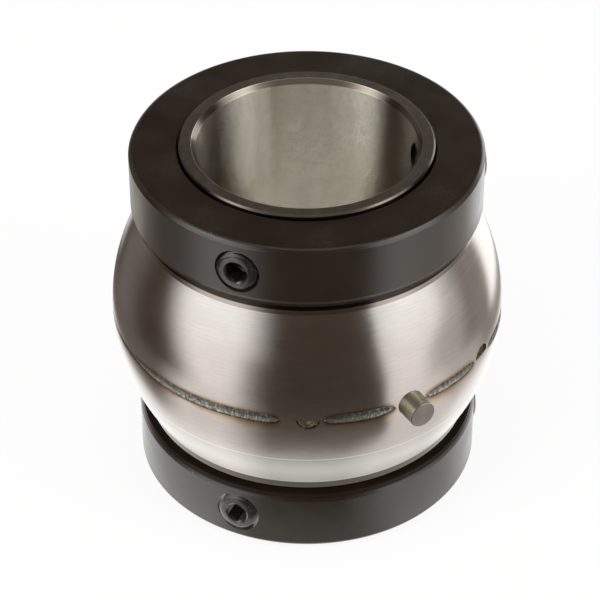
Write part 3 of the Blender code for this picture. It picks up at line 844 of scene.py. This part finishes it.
def make_collar(side, name):
    edge = 0.4
    mouth = COLLAR_BORE_R + edge
    section = rounded([
        (mouth, COLLAR_OUT),
        (COLLAR_R - COLLAR_OUTER_BREAK[0], COLLAR_OUT),
        (COLLAR_R, COLLAR_OUT - COLLAR_OUTER_BREAK[1]),
        (COLLAR_R, COLLAR_IN + COLLAR_INNER_BREAK[1]),
        (COLLAR_R - COLLAR_INNER_BREAK[0], COLLAR_IN),
        (mouth, COLLAR_IN),
        (COLLAR_BORE_R, COLLAR_IN + edge),
        (COLLAR_BORE_R, COLLAR_OUT - edge),
    ], [0.1, 1.1, 0.5, 0.2, 0.15, 0.1, 0.1, 0.1], steps=6)
    collar = turned("collar_fine_" + name, section if side > 0 else mirrored(section), 512)
    drill(collar, side)
    return dress(collar, COLLAR, "shaft_group", "black_oxide", "collar_" + name)


# Set screws with a real thread, a chamfered hex socket and a cup point

def thread_depth(turns):
    """Depth below the crest, 0 to 1, at a place along the thread in turns."""
    share = abs((turns % 1.0) - 0.5) * 2.0
    return min(1.0, max(0.0, (share - 0.1) / 0.72))


def make_screw(name, side, azimuth):
    length = SCREW_END - SCREW_TIP
    fine_from = length - 2.4
    rows = [*np.arange(0.0, fine_from, 0.16), *np.arange(fine_from, length - 0.02, 0.07), length]
    steps = 96
    points = []
    depth = 0.61 * SCREW_PITCH
    for z in rows:
        for k in range(steps):
            a = math.tau * k / steps
            r = SCREW_R - depth * thread_depth((length - 0.52 - z) / SCREW_PITCH + k / steps)
            r = min(r, SCREW_FACE_R + (length - z) * SCREW_FACE_SLOPE, SCREW_POINT_R + z)
            points.append((r * math.cos(a), r * math.sin(a), z + SCREW_TIP))
    count = len(rows)
    faces = grid_faces(count, steps, wrap_rows=False)
    faces.append(tuple((count - 1) * steps + k for k in range(steps)))
    points.append((0.0, 0.0, SCREW_TIP + 0.9))
    tip = len(points) - 1
    faces += [(tip, (k + 1) % steps, k) for k in range(steps)]
    matrix = azimuth_frame(azimuth, side * SCREW_Z)
    screw = make_object(name + "_fine", points, faces, matrix)
    corner = SOCKET_FLATS / math.sqrt(3.0)
    outside, bottom, lead_end = SCREW_END + 1.0, SCREW_END - SOCKET_DEPTH, SCREW_END - 0.72
    hexagon = turned("socket", [(0.0, outside), (corner, outside), (corner, bottom), (0.0, bottom - 1.2)],
                     6, matrix)
    lead = turned("socket_lead", [(0.0, outside), (corner + 1.12, outside), (corner - 0.6, lead_end),
                                  (0.0, lead_end)], 96, matrix)
    cut_by(screw, [hexagon, lead])
    drop([hexagon, lead])
    return dress(smooth(screw, 38.0), SCREW, name, "screw_steel", name)


make_race()
for grease_side, grease_azimuth in NOTCHES.items():
    make_grease(grease_side, grease_azimuth)
make_pin().visible_glossy = False
make_ring()
make_collar(1, "upper")
make_collar(-1, "lower").visible_glossy = False
for screw_name, (screw_side, screw_azimuth) in SCREWS.items():
    make_screw(screw_name, screw_side, screw_azimuth).visible_glossy = screw_side > 0

for entry in frame["record"]["subparts"]:
    cad = frame["nodes"][entry["node"]]
    cad.data.materials.clear()
    cad.data.materials.append(CAD_MATERIALS[entry["material_slot"]])


# Studio: pale floor, white surroundings, two softboxes and dark flags.
# Only reflections see the softboxes, the flags and the shades on the floor. Here azimuths (turn)
# and rises above the horizon are in degrees, and distances from the shaft axis in metres.

WHITE = (1.0, 1.0, 1.0)
FLOOR_HALF = 4000.0
SHELL_R = 950.0
GAP_LEFT = (-42.0, -15.0)
GAP_RIGHT = (41.0, 36.0)
LEFT_FADE = (-80.0, -56.0)
RIGHT_FADES = ((76.0, 60.0), (105.0, 88.0))
RIGHT_SHARES = (0.55, 0.45)
REAR_RIGHT = (121.0, 130.0)

# Colours of the floor in reflections. Each table goes by the quantity that its comment names.
TABLE_RADIUS = 0.2
AHEAD = [  # in the dark gap, by distance from the axis as a share of TABLE_RADIUS
    (0.14, (0.38, 0.39, 0.36)), (0.18, (0.51, 0.53, 0.49)), (0.20, (0.66, 0.69, 0.64)),
    (0.22, (0.77, 0.80, 0.74)), (0.235, (0.71, 0.74, 0.68)), (0.25, (0.61, 0.63, 0.58)),
    (0.2625, (0.46, 0.47, 0.43)), (0.28, (0.34, 0.33, 0.30)), (0.30, (0.27, 0.25, 0.22)),
    (0.33, (0.185, 0.165, 0.145)), (0.375, (0.135, 0.115, 0.095)), (0.42, (0.10, 0.083, 0.068)),
    (0.525, (0.072, 0.058, 0.047)), (0.75, (0.057, 0.044, 0.034))]
AHEAD_BY_COLLAR = [  # the same, where the collars mirror it
    (0.21, (0.28, 0.235, 0.20)), (0.24, (0.195, 0.155, 0.125)), (0.255, (0.15, 0.115, 0.09)),
    (0.275, (0.13, 0.098, 0.076)), (0.29, (0.065, 0.046, 0.035))]
AHEAD_IN_BORE = [  # inside the bore, in the dark gap, by facing
    (0.0, (0.52, 0.54, 0.46)), (0.05, (0.50, 0.52, 0.44)), (0.055, (0.25, 0.23, 0.195)),
    (0.09, (0.19, 0.17, 0.14)), (0.155, (0.16, 0.14, 0.115)), (0.26, (0.095, 0.078, 0.062)),
    (0.4, (0.03, 0.023, 0.017))]
BESIDE = [  # beside the gap, by distance from the axis as a share of TABLE_RADIUS
    (0.15, (0.80, 0.77, 0.72)), (0.19, (0.95, 0.93, 0.89)), (0.215, (1.24, 1.24, 1.22)),
    (0.23, (1.10, 1.11, 1.11)), (0.25, (1.04, 1.05, 1.05)), (0.275, (1.00, 0.98, 0.96)),
    (0.31, (0.87, 0.83, 0.81)), (0.375, (0.81, 0.76, 0.74)), (0.5, (0.82, 0.77, 0.75)),
    (0.65, (0.93, 0.88, 0.86))]
BESIDE_IN_BORE = [  # inside the bore, beside the gap, by facing
    (0.0, (0.90, 0.92, 0.84)), (0.05, (1.20, 1.20, 1.10)), (0.09, (1.20, 1.18, 1.07)),
    (0.16, (0.96, 0.90, 0.79)), (0.39, (0.96, 0.90, 0.78))]
FAR_FLOOR = [  # seen flat, by azimuth as a share of a full turn that starts at the rear
    (0.163, (0.92, 0.85, 0.79)), (0.189, (0.50, 0.46, 0.43)), (0.21, (0.36, 0.335, 0.315)),
    (0.24, (0.25, 0.23, 0.205)), (0.275, (0.31, 0.285, 0.265)), (0.30, (0.46, 0.44, 0.42)),
    (0.325, (0.71, 0.69, 0.65)), (0.34, (0.78, 0.76, 0.71)), (0.36, (0.80, 0.78, 0.73)),
    (0.379, (0.70, 0.65, 0.60)), (0.40, (0.42, 0.38, 0.345)), (0.428, (0.27, 0.235, 0.205)),
    (0.447, (0.16, 0.132, 0.11)), (0.465, (0.09, 0.07, 0.056)), (0.575, (0.075, 0.057, 0.045)),
    (0.595, (0.15, 0.13, 0.115)), (0.605, (0.27, 0.25, 0.23)), (0.615, (0.44, 0.42, 0.39)),
    (0.635, (0.62, 0.60, 0.56)), (0.66, (0.72, 0.69, 0.64)), (0.68, (0.71, 0.68, 0.63)),
    (0.703, (0.62, 0.58, 0.53)), (0.73, (0.59, 0.54, 0.495)), (0.76, (0.75, 0.69, 0.635)),
    (0.80, (0.90, 0.86, 0.81)), (0.825, (1.2, 1.18, 1.14)), (0.86, (1.5, 1.5, 1.5))]
SOFTBOX = [  # the softboxes, by rise as a share of the half circle that starts straight down
    (0.29, (0.82, 0.77, 0.74)), (0.35, (0.98, 0.93, 0.91)), (0.444, (1.05, 1.0, 0.98)),
    (0.5, (1.09, 1.05, 1.04)), (0.544, (1.16, 1.17, 1.17)), (0.64, (1.18, 1.20, 1.20)),
    (0.735, (1.18, 1.20, 1.20)), (0.79, (0.55, 0.53, 0.48)), (0.90, (0.40, 0.38, 0.34))]


def light_mask(tree, *kinds):
    """1 for the named kinds of ray, 0 for the others."""
    path = node(tree, 'ShaderNodeLightPath')
    value = path.outputs[kinds[0]]
    for kind in kinds[1:]:
        value = larger(value, path.outputs[kind])
    return value


def shader_mix(factor, first, second):
    return node(first.id_data, 'ShaderNodeMixShader', {0: factor, 1: first, 2: second}).outputs[0]


def glow(tree, colour):
    return node(tree, 'ShaderNodeEmission', {0: colour, 1: 1.0}).outputs[0]


def open_air(tree):
    return node(tree, 'ShaderNodeBsdfTransparent').outputs[0]


def studio_material(obj):
    """An empty material on the object, with its node tree and the place in it."""
    material = bpy.data.materials.new(obj.name)
    material.use_nodes = True
    material.node_tree.nodes.clear()
    obj.data.materials.append(material)
    return material.node_tree, node(material.node_tree, 'ShaderNodeTexCoord').outputs["Object"]


def make_world(ambient):
    world = bpy.data.worlds.new("studio_world")
    bpy.context.scene.world = world
    world.use_nodes = True
    tree = world.node_tree
    tree.nodes.clear()
    soft = node(tree, 'ShaderNodeBackground', {0: (1.0, 0.99, 0.975, 1.0), 1: ambient}).outputs[0]
    white = node(tree, 'ShaderNodeBackground', {0: (*WHITE, 1.0), 1: 1.0}).outputs[0]
    seen = light_mask(tree, "Is Camera Ray", "Is Glossy Ray", "Is Transmission Ray")
    node(tree, 'ShaderNodeOutputWorld', {0: shader_mix(seen, soft, white)})


def front_mask(turn):
    """The dark gap between the softboxes: soft on its left, crisp on its right."""
    return times(window(turn, *GAP_LEFT), window(turn, *GAP_RIGHT))


def right_fall(turn, shift):
    """How the right softbox fades to the rear, in two steps. The shift moves only the first."""
    first = window(minus(turn, shift), *RIGHT_FADES[0])
    second = window(turn, *RIGHT_FADES[1])
    return plus(times(first, RIGHT_SHARES[0]), times(second, RIGHT_SHARES[1]))


def gap_on_floor(radius, turn, in_bore, on_right, close):
    """1 where the floor shows the dark gap. It is turned to the left near the object's right side."""
    lead = plus(times(close, 8.5), times(window(radius, 0.2, 0.1), 2.0))
    led = plus(turn, times(lead, on_right))
    soft = times(window(led, *GAP_LEFT), window(led, 52.0, 24.0))
    outside = mix_values(close, front_mask(led), soft)
    bore_lead = times(maths('SIGN', turn), 13.0)
    return mix_values(in_bore, outside, front_mask(plus(turn, bore_lead)))


def floor_ahead(reach, radius, facing, in_bore):
    """Colour of the floor in the dark gap: bright close to the object, dark further out."""
    colour = ramp(reach, AHEAD)
    bright_line = times(window(facing, 0.048, 0.0485), window(facing, 0.0535, 0.053))
    colour = blend(bright_line, colour, (1.2, 1.2, 1.15))
    by_collar = times(window(facing, 0.27, 0.31), window(radius, 0.066, 0.060))
    colour = blend(by_collar, colour, ramp(reach, AHEAD_BY_COLLAR))
    return blend(in_bore, colour, ramp(facing, AHEAD_IN_BORE))


def floor_beside(reach, radius, turn, facing, in_bore, on_right, close):
    """Colour of the floor beside the gap: lit by the softboxes, shaded behind them."""
    either_way = size_of(turn)
    rear = larger(minus(either_way, 75.0), 0.0)
    shifted = minus(minus(radius, times(rear, 0.0004)), times(on_right, 0.006))
    inner = window(shifted, 0.072, 0.054)
    lit = times(window(turn, *LEFT_FADE), right_fall(turn, 1.0))
    shut = times(minus(1.0, inner), minus(1.0, lit))
    shade = blend(on_right, (0.14, 0.122, 0.108), (0.28, 0.255, 0.225))
    colour = blend(shut, ramp(reach, BESIDE), shade)
    glare = times(inner, window(either_way, 60.0, 110.0), 0.9)
    colour = blend(glare, colour, (1.38, 1.39, 1.40))
    dimmed = times(close, on_right, window(turn, 80.0, 60.0), 0.2)
    colour = blend(dimmed, colour, (0.1, 0.09, 0.08))
    colour = blend(in_bore, colour, ramp(facing, BESIDE_IN_BORE))
    bore_sides = times(in_bore, window(either_way, 122.0, 92.0), 0.42)
    return blend(bore_sides, colour, (0.02, 0.018, 0.014))


def make_floor():
    """Pale floor. What the object mirrors of it depends on the place and on how steeply it is seen."""
    corners = [(x * FLOOR_HALF, y * FLOOR_HALF, FLOOR_Z) for x, y in ((-1, -1), (1, -1), (1, 1), (-1, 1))]
    floor = make_object("floor", corners, [(0, 1, 2, 3)])
    tree, place = studio_material(floor)
    radius, _, turn = around(place)
    facing = node(tree, 'ShaderNodeLayerWeight', {0: 0.5}).outputs["Facing"]
    reach = times(radius, 1.0 / TABLE_RADIUS)
    on_right = window(turn, -1.0, 1.0)
    in_bore = window(radius, 0.0275, 0.0262)
    close = window(radius, 0.074, 0.056)

    gap = gap_on_floor(radius, turn, in_bore, on_right, close)
    ahead = floor_ahead(reach, radius, facing, in_bore)
    beside = floor_beside(reach, radius, turn, facing, in_bore, on_right, close)
    share_of_turn = plus(times(turn, 1.0 / 360.0), 0.5)
    far = ramp(share_of_turn, FAR_FLOOR)
    seen_flat = times(window(radius, 0.112, 0.117), window(facing, 0.45, 0.425))

    flank = shader_mix(window(radius, 0.135, 0.118), open_air(tree), glow(tree, beside))
    mirrored_floor = shader_mix(gap, flank, glow(tree, ahead))
    mirrored_floor = shader_mix(seen_flat, mirrored_floor, glow(tree, far))
    matt = node(tree, 'ShaderNodeBsdfDiffuse', {0: (0.9, 0.9, 0.895, 1.0)}).outputs[0]
    seen = shader_mix(0.9, matt, glow(tree, (*WHITE, 1.0)))
    direct = shader_mix(light_mask(tree, "Is Camera Ray"), matt, seen)
    final = shader_mix(light_mask(tree, "Is Glossy Ray", "Is Transmission Ray"), direct, mirrored_floor)
    node(tree, 'ShaderNodeOutputMaterial', {0: final})


def softbox_mask(turn, rise):
    """1 in either softbox. The left one leans back low and high up, and starts late above the ball."""
    lean = plus(times(window(rise, -26.0, 8.0, False), 14.0),
                times(window(rise, 42.0, 60.0), 45.0))
    late_start = times(window(rise, 26.0, 36.0), 12.0)
    left = times(window(plus(turn, late_start), *reversed(GAP_LEFT)),
                 window(plus(turn, lean), *LEFT_FADE))
    late = times(window(rise, -12.0, 0.0), 14.0)
    soft_start = window(turn, 40.0, 54.0, ends=(0.84, 1.0))
    right = times(window(turn, *reversed(GAP_RIGHT)), soft_start, right_fall(turn, late),
                  window(rise, 72.0, 58.0))
    return larger(left, right)


def flag_colour(turn, rise):
    """The shell beside the softboxes: dark, with two places a little lighter."""
    not_behind = minus(1.0, window(size_of(turn), 132.0, 152.0))
    flank = times(window(turn, 90.0, 108.0), window(rise, 26.0, 12.0), not_behind)
    colour = blend(flank, (0.062, 0.044, 0.033), (0.27, 0.245, 0.22))
    edge = times(window(turn, -98.0, -125.0), not_behind)
    return blend(edge, colour, (0.17, 0.15, 0.135))


def softbox_colour(turn, rise):
    """The softboxes, with a band that is brighter on their outer sides."""
    colour = ramp(plus(times(rise, 1.0 / 180.0), 0.5), SOFTBOX)
    outward = larger(window(turn, -46.0, -64.0), window(turn, 50.0, 66.0))
    boost = times(outward, window(rise, 26.0, 34.0), window(rise, 50.0, 42.0))
    return blend(boost, colour, (2.5, 2.55, 2.4))


def make_flags():
    """A shell that only reflections see: softboxes left and right, dark flags between."""
    angles = np.radians(np.linspace(90, -90, 25))
    section = [(max(SHELL_R * math.cos(a), 0.0), SHELL_R * math.sin(a)) for a in angles]
    shell = turned("studio_flags", section, 96)
    tree, place = studio_material(shell)
    radius, height, turn = around(place)
    rise = times(maths('ARCTAN2', height, radius), 180.0 / math.pi)
    either_way = size_of(turn)
    rear_right = window(turn, *REAR_RIGHT)
    colour = blend(softbox_mask(turn, rise), flag_colour(turn, rise),
                   softbox_colour(turn, rise))
    overhead = times(window(rise, 43.0, 50.0), window(either_way, 125.0, 100.0))
    colour = blend(overhead, colour, (0.34, 0.32, 0.29))
    glimmer = times(window(either_way, 150.0, 170.0), window(rise, 32.0, 12.0))
    colour = blend(glimmer, colour, (0.75, 0.71, 0.665))
    backlight = times(rear_right, window(rise, 24.0, 10.0))
    colour = blend(backlight, colour, (1.45, 1.45, 1.43))
    opening = times(window(either_way, 146.0, 163.0), window(rise, -8.0, -22.0),
                    minus(1.0, rear_right))
    final = shader_mix(minus(1.0, opening), open_air(tree), glow(tree, colour))
    node(tree, 'ShaderNodeOutputMaterial', {0: final})
    shell.visible_camera = False
    shell.visible_diffuse = False
    shell.visible_shadow = False


def make_lamp(name, azimuth, rise, distance_m, size, power):
    light = bpy.data.lights.new(name, 'AREA')
    light.shape = 'RECTANGLE'
    light.size, light.size_y = size
    light.energy = power
    lamp = bpy.data.objects.new(name, light)
    bpy.context.scene.collection.objects.link(lamp)
    a, e = math.radians(azimuth), math.radians(rise)
    back = Vector((math.sin(a) * math.cos(e), -math.cos(a) * math.cos(e), math.sin(e)))
    lamp.location = back * distance_m
    lamp.rotation_mode = 'QUATERNION'
    lamp.rotation_quaternion = back.to_track_quat('Z', 'Y')
    lamp.visible_glossy = False


def make_camera():
    """The photograph's camera, from a fit to the edges of the collars, bore and ball."""
    photo_pixels, focal_pixels, sensor = 600.0, 2616.58, 36.0
    tilt, roll = math.radians(37.68), math.radians(0.26)
    unit = COLLAR_R * MM
    to_side, to_top, to_back = -0.0416, -0.0272, -15.2867
    right = Vector((1.0, 0.0, 0.0))
    up = Vector((0.0, math.sin(tilt), math.cos(tilt)))
    ahead = Vector((0.0, math.cos(tilt), -math.sin(tilt)))
    side = math.cos(roll) * right - math.sin(roll) * up
    top = math.sin(roll) * right + math.cos(roll) * up
    data = bpy.data.cameras.new("camera")
    data.sensor_width = sensor
    data.lens = sensor * focal_pixels / photo_pixels
    data.clip_start = 0.05
    camera = bpy.data.objects.new("camera", data)
    bpy.context.scene.collection.objects.link(camera)
    turn = Matrix((side, top, -ahead)).transposed().to_4x4()
    turn.translation = (to_side * side + to_top * top + to_back * ahead) * unit
    camera.matrix_world = turn
    bpy.context.scene.camera = camera


make_world(0.66)
make_floor()
make_flags()
make_lamp("key_left", -54.0, 34.0, 0.75, (0.45, 0.55), 3.2)
make_lamp("key_right", 62.0, 30.0, 0.75, (0.40, 0.55), 2.6)
make_camera()
bpy.context.scene.view_settings.view_transform = 'Standard'
